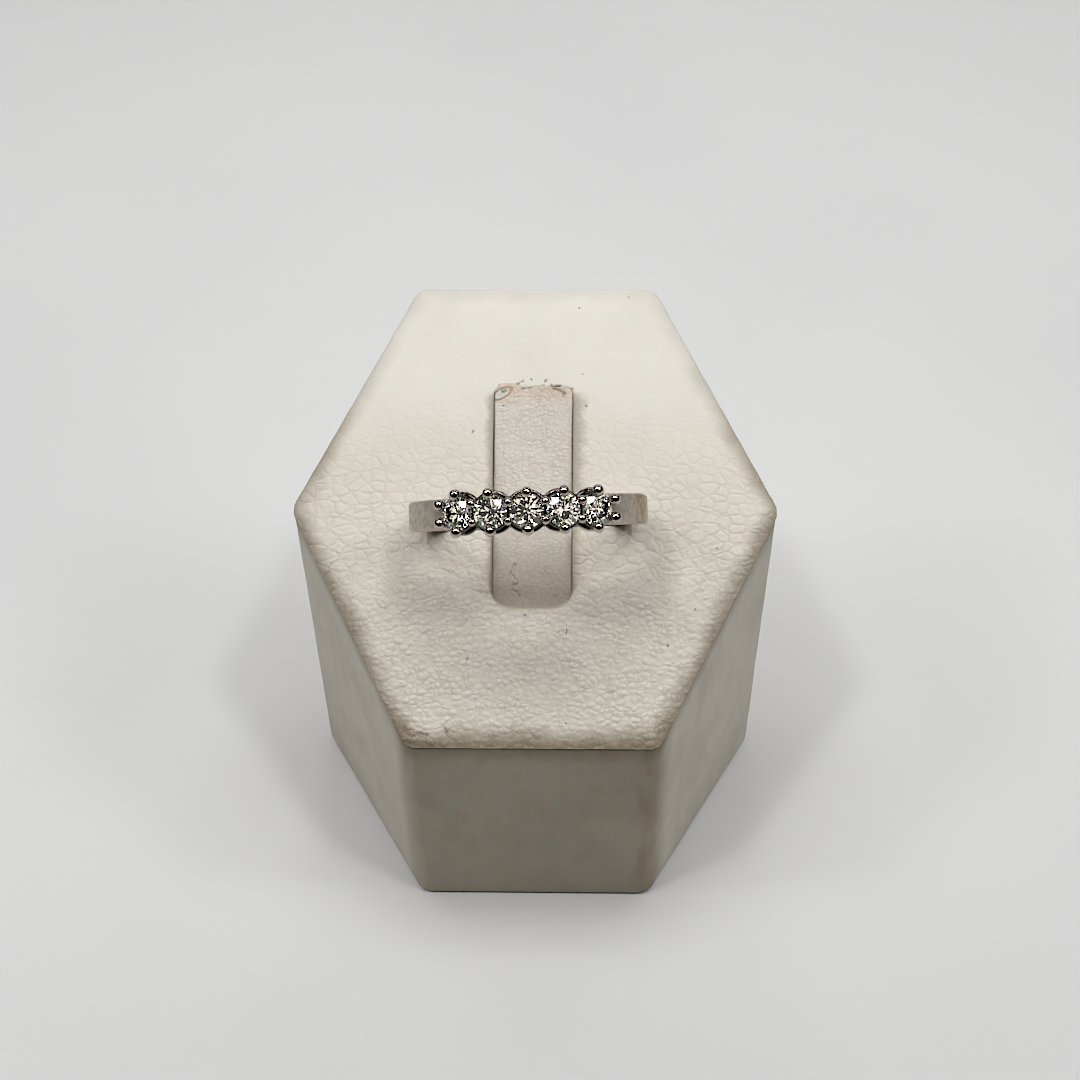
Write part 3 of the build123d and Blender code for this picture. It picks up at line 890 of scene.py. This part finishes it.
scratches = fine_scratches()
GOLD_COLOUR = (0.63, 0.565, 0.485)
GOLD_WORN = tuple(0.78 * part for part in GOLD_COLOUR)
GOLD_TARNISH = (0.33, 0.22, 0.12)
TARNISH_STRENGTH = 0.88
TARNISH_FROM = 9.2
TARNISH_FULL = 10.6
SCRATCH_DEPTH = 0.011

shank_finish, tree, shader = new_material("shank_gold", 0.36, 1.0)
place = millimetres_from(tree, ring_place)
parts = axes(tree, place)
scratch = add_group(tree, scratches, {"Place": place})["Height"]
cloud = noise_value(tree, place, 1.9, 5.0)
tone = blend_colours(tree, ramp_value(tree, cloud, 0.35, 0.7), GOLD_COLOUR, GOLD_WORN)
to_right = work_out(tree, "MULTIPLY_ADD", noise_value(tree, place, 1.6, 3.0), 2.4, parts[0])
stained = ramp_value(tree, to_right, TARNISH_FROM, TARNISH_FULL)
stained = work_out(tree, "MULTIPLY", stained, ramp_value(tree, parts[2], 1.0, 4.0))
tone = blend_colours(tree, work_out(tree, "MULTIPLY", stained, TARNISH_STRENGTH), tone, GOLD_TARNISH)
tree.links.new(tone, shader.inputs["Base Color"])
tree.links.new(ramp_value(tree, cloud, 0.3, 0.7, 0.3, 0.46), shader.inputs["Roughness"])
add_bump(tree, shader, (scratch, SCRATCH_DEPTH))
finish_piece(shank, "ring_shank", shank_finish, "ring_band")

# The setting: five stones stand in a row of round wire seats with scalloped lower rails, on a thin pierced bridge.
# Each stone has two thick claws across the ring, and shares thin ones with its neighbours. All of it is one
# casting, filed and polished where it shows; below the stones it is painted nearly black, as dirt and painted shade.
HEAD_VOXEL = 0.06
BRIDGE_THICKNESS = 0.65
BRIDGE_HOLE = 1.2
LOWER_RAIL_WIRE = 0.42
LOWER_RAIL_OUTSET = 0.17
LOWER_RAIL_DROP = 0.9
SEAT_RAIL_WIRE = 0.5
SEAT_RAIL_INSET = 0.12
SEAT_RAIL_DROP = 0.35
MAIN_CLAW_WIRE = 0.6
MAIN_CLAW_BEAD = 0.9
MAIN_CLAW_OUTSET = 0.08
SHARED_CLAW_WIRE = 0.46
SHARED_CLAW_BEAD = 0.72
SHARED_CLAW_OFFSET = 0.7
END_CLAW_SHIFT = 0.8
END_CLAW_BEAD = 0.98
CLAW_LIFT = 0.26
CLAW_ROOT = 0.3
CROWN_ANGLE = 34.5
PAVILION_ANGLE = 40.8
TABLE_SHARE = 0.57
GIRDLE_THICKNESS = 0.07
STONE_CLEARANCE = 0.04


def turned(angle):
    """A turn round the finger, from the top of the ring."""
    return Matrix.Rotation(radians(angle), 4, "Y")


def lay_in(whole, part, place):
    """Adds a part's mesh to the whole one, at its place."""
    bmesh.ops.recalc_face_normals(part, faces=part.faces)
    bmesh.ops.transform(part, matrix=place, verts=part.verts)
    carried = bpy.data.meshes.new("carried")
    part.to_mesh(carried)
    part.free()
    whole.from_mesh(carried)
    bpy.data.meshes.remove(carried)


def wire_ring(radius, wire):
    bm = bmesh.new()
    across = Matrix.Translation((radius, 0, 0)) @ Matrix.Rotation(radians(90), 4, "X")
    bmesh.ops.create_circle(bm, segments=16, radius=wire / 2, matrix=across)
    bmesh.ops.spin(
        bm, geom=bm.verts[:] + bm.edges[:], cent=(0, 0, 0), axis=(0, 0, 1), angle=radians(360), steps=72,
        use_merge=True,
    )
    return bm


def claw(foot, tip, wire, bead):
    """A round wire that thins a little to its end, with the ball that was pressed down over the stone."""
    bm = bmesh.new()
    run = tip - foot
    bmesh.ops.create_cone(
        bm, cap_ends=True, segments=24, radius1=1.06 * wire / 2, radius2=0.94 * wire / 2, depth=run.length,
        matrix=Matrix.Translation((foot + tip) / 2) @ run.to_track_quat("Z", "Y").to_matrix().to_4x4(),
    )
    bmesh.ops.create_icosphere(bm, subdivisions=4, radius=bead / 2, matrix=Matrix.Translation(tip))
    return bm


def bridge():
    """The thin arc under the stones, pierced under each one."""
    bm = bmesh.new()
    bmesh.ops.create_grid(bm, x_segments=1, y_segments=1, size=0.5)
    bmesh.ops.scale(bm, verts=bm.verts, vec=(BRIDGE_THICKNESS, SHANK_WIDTH, 1))
    bmesh.ops.delete(bm, geom=bm.faces[:], context="FACES_ONLY")
    bmesh.ops.translate(bm, verts=bm.verts, vec=(bore_radius + BRIDGE_THICKNESS / 2, 0, 0))
    bmesh.ops.rotate(bm, verts=bm.verts, matrix=Matrix.Rotation(radians(-head_angle - 1.5 - 90), 3, "Y"))
    bmesh.ops.spin(
        bm, geom=bm.verts[:] + bm.edges[:], cent=(0, 0, 0), axis=(0, 1, 0), angle=radians(2 * head_angle + 3), steps=48
    )
    bmesh.ops.holes_fill(bm, edges=[edge for edge in bm.edges if edge.is_boundary], sides=0)
    drills = []
    for angle in stone_angles:
        drill = bmesh.new()
        bmesh.ops.create_cone(
            drill, cap_ends=True, segments=32, radius1=BRIDGE_HOLE / 2, radius2=BRIDGE_HOLE / 2,
            depth=3 * BRIDGE_THICKNESS,
            matrix=turned(angle) @ Matrix.Translation((0, 0, bore_radius + BRIDGE_THICKNESS / 2)),
        )
        drills.append(as_object(drill, "drill"))
    pierced = shaped(as_object(bm, "bridge"), drills)
    for drill in drills:
        bpy.data.objects.remove(drill)
    return pierced


def without_specks(bm):
    """Deletes all but the largest part of a mesh."""
    left = set(bm.verts)
    parts = []
    while left:
        part = [left.pop()]
        for vert in part:
            beside = {edge.other_vert(vert) for edge in vert.link_edges} & left
            part.extend(sorted(beside, key=lambda other: other.index))
            left -= beside
        parts.append(part)
    parts.sort(key=len)
    bmesh.ops.delete(bm, geom=[vert for part in parts[:-1] for vert in part], context="VERTS")


stone_angles = [(2 * index - STONE_COUNT + 1) * half_pitch for index in range(STONE_COUNT)]
gap_angles = [(2 * index - STONE_COUNT) * half_pitch for index in range(STONE_COUNT + 1)]
head = bmesh.new()
lay_in(head, bridge(), Matrix())
chance = random.Random(5)
for angle in stone_angles:
    lower = wire_ring(stone_radius + LOWER_RAIL_OUTSET, LOWER_RAIL_WIRE)
    lay_in(head, lower, turned(angle) @ Matrix.Translation((0, 0, girdle_radius - LOWER_RAIL_DROP)))
    seat = wire_ring(stone_radius - SEAT_RAIL_INSET, SEAT_RAIL_WIRE)
    lay_in(head, seat, turned(angle) @ Matrix.Translation((0, 0, girdle_radius - SEAT_RAIL_DROP)))
    for hand in (-1, 1):
        foot = Vector((0, hand * (SHANK_WIDTH - MAIN_CLAW_WIRE) / 2, bore_radius + CLAW_ROOT))
        tip = Vector((chance.uniform(-0.06, 0.06), hand * (stone_radius + MAIN_CLAW_OUTSET), girdle_radius + CLAW_LIFT))
        bead = MAIN_CLAW_BEAD * chance.uniform(0.94, 1.04)
        lay_in(head, claw(foot, tip, MAIN_CLAW_WIRE, bead), turned(angle))
for number, angle in enumerate(gap_angles):
    at_end = number in (0, STONE_COUNT)
    if at_end:
        angle += END_CLAW_SHIFT * (1 if number else -1)
    for hand in (-1, 1):
        foot = Vector((0, hand * SHARED_CLAW_OFFSET, bore_radius + CLAW_ROOT))
        tip = foot.copy()
        tip.z = girdle_radius + CLAW_LIFT
        tip.x += chance.uniform(-0.04, 0.04)
        bead = (END_CLAW_BEAD if at_end else SHARED_CLAW_BEAD) * chance.uniform(0.92, 1.05)
        lay_in(head, claw(foot, tip, SHARED_CLAW_WIRE, bead), turned(angle))
head = shaped(as_object(head, "head"), (), HEAD_VOXEL)
without_specks(head)
bmesh.ops.smooth_vert(head, verts=head.verts, factor=0.5, use_axis_x=True, use_axis_y=True, use_axis_z=True)


def clear_of_stone(point):
    """Moves a point of the metal that lies in a stone's seat out to the seat's nearest side."""
    reach = stone_radius + STONE_CLEARANCE
    half_girdle = GIRDLE_THICKNESS / 2 + STONE_CLEARANCE
    crown, pavilion = radians(CROWN_ANGLE), radians(PAVILION_ANGLE)
    out = hypot(point.x, point.y)
    up = point.z - girdle_radius
    table_up = half_girdle + (reach - TABLE_SHARE * stone_radius) * tan(crown)
    sides = [
        (reach - out, Vector((1, 0))),
        ((half_girdle - up + (reach - out) * tan(crown)) * cos(crown), Vector((sin(crown), cos(crown)))),
        ((half_girdle + up + (reach - out) * tan(pavilion)) * cos(pavilion), Vector((sin(pavilion), -cos(pavilion)))),
        (table_up - up, Vector((0, 1))),
    ]
    depth, away = min(sides, key=lambda side: side[0])
    if depth <= 0 or out < 0.001:
        return point
    moved = Vector((out, up)) + away * depth
    return Vector((point.x / out * moved.x, point.y / out * moved.x, moved.y + girdle_radius))


for vert in head.verts:
    for angle in stone_angles:
        vert.co = turned(angle) @ clear_of_stone(turned(-angle) @ vert.co)
    near_bore = hypot(vert.co.x, vert.co.z)
    if near_bore < bore_radius:
        vert.co.x *= bore_radius / near_bore
        vert.co.z *= bore_radius / near_bore
bmesh.ops.transform(head, matrix=ring_place, verts=head.verts)

SETTING_COLOUR = (0.56, 0.495, 0.405)
SETTING_DARK = (0.085, 0.075, 0.065)
SETTING_ROUGHNESS = 0.08
SETTING_SCRATCH_DEPTH = 0.001

setting_finish, tree, shader = new_material("setting_gold", SETTING_ROUGHNESS, 1.0)
place = millimetres_from(tree, ring_place)
level_place = stretched(tree, place, (1, 0, 1))
from_axis = add_node(tree, "ShaderNodeVectorMath", {"operation": "LENGTH"}, {0: level_place}).outputs["Value"]
# Dirt and painted shade: the metal below the stones' girdles, inside and under the setting, is made nearly black, apart
# from a band along the top of the lower rails.
level = work_out(tree, "MULTIPLY_ADD", noise_value(tree, place, 1.6, 4.0), 0.3, from_axis)
dark = ramp_value(tree, level, girdle_radius + 0.42, girdle_radius + 0.1)
edge = work_out(tree, "ABSOLUTE", work_out(tree, "SUBTRACT", level, girdle_radius - LOWER_RAIL_DROP + 0.15))
dark = work_out(tree, "MULTIPLY", dark, ramp_value(tree, edge, 0.08, 0.2))
tree.links.new(blend_colours(tree, dark, SETTING_COLOUR, SETTING_DARK), shader.inputs["Base Color"])
add_bump(tree, shader, (add_group(tree, scratches, {"Place": place})["Height"], SETTING_SCRATCH_DEPTH))
finish_piece(head, "ring_head", setting_finish, "ring_band")

# The stones: five round brilliants, colourless and clean, each with its own turn in its seat.
DIAMOND_INDEX = 2.417
STONE_COLOUR = (1.0, 1.0, 0.985)
STONE_TINT = (0.955, 0.95, 0.92)
diamond_finish, tree, shader = new_material("diamond", 0.0)
shader.inputs["Transmission Weight"].default_value = 1.0
shader.inputs["IOR"].default_value = DIAMOND_INDEX
cloud = noise_value(tree, millimetres_from(tree, ring_place), 0.6)
tree.links.new(blend_colours(tree, cloud, STONE_COLOUR, STONE_TINT), shader.inputs["Base Color"])
for number in range(1, STONE_COUNT + 1):
    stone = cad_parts[f"stone_{number}"]
    stone.data.materials.clear()
    stone.data.materials.append(diamond_finish)
